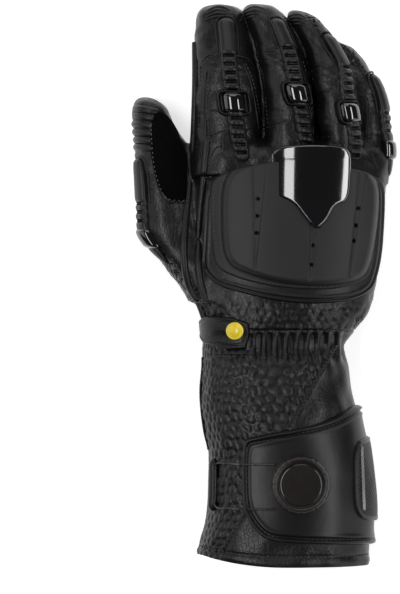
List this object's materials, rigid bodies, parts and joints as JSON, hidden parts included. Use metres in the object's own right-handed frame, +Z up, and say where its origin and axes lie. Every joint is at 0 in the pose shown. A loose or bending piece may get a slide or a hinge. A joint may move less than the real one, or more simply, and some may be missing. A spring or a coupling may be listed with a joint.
{
  "type": "motorcycle gauntlet",
  "caption": "Long motorcycle glove for the right hand with moulded knuckle armour, ribbed finger guards, wrist strap and a cuff closed by a lace dial.",
  "frame": {"origin": "middle of the box, on the surface that the palm rests on", "axes": "+Z up out of the back of the hand, +Y toward the fingertips, +X toward the little finger"},
  "size_m": [0.1556, 0.329, 0.0712],
  "materials": {
    "leather": "smooth black leather with a fine grain",
    "suede": "black suede",
    "matte_shell": "matte moulded black",
    "strip_rubber": "satin dark rubber",
    "gloss_black": "polished black",
    "snap_yellow": "yellow enamel",
    "dial_plastic": "satin warm dark grey",
    "reflective_strip": "grey reflective tape",
    "lace_wire": "coated steel lace"
  },
  "bodies": {
    "root": {"hand_leather": "leather", "wrist_gathers": "leather", "cuff_leather": "leather", "thumb_grip": "suede", "knuckle_pad": "leather", "knuckle_shell": "matte_shell", "knuckle_plate": "gloss_black", "spine_index": "strip_rubber", "spine_middle": "strip_rubber", "spine_ring": "strip_rubber", "spine_little": "strip_rubber", "spine_thumb": "strip_rubber", "saddle_index": "leather", "saddle_middle": "leather", "saddle_ring": "leather", "cap_index": "gloss_black", "cap_middle": "gloss_black", "cap_ring": "gloss_black", "cap_little": "gloss_black", "cap_thumb": "gloss_black", "wrist_strap": "leather", "snap_cap": "snap_yellow", "cuff_flap": "leather", "side_badge": "strip_rubber", "badge_strip": "reflective_strip", "dial_base": "dial_plastic", "closure_lace": "lace_wire", "lace_guide": "strip_rubber"},
    "lace_spool": {"dial_spool": "dial_plastic"},
    "dial_knob": {"dial_knob": "dial_plastic", "dial_cap": "dial_plastic"}
  },
  "joints": [
    {"name": "dial_turn", "type": "hinge", "parent": "root", "child": "lace_spool", "pos_m": [0.01968, -0.11606, 0.065], "axis": [0, 0, 1], "continuous": true},
    {"name": "dial_lift", "type": "slide", "parent": "lace_spool", "child": "dial_knob", "axis": [0, 0, 1], "range_m": [0, 0.0025]}
  ]
}
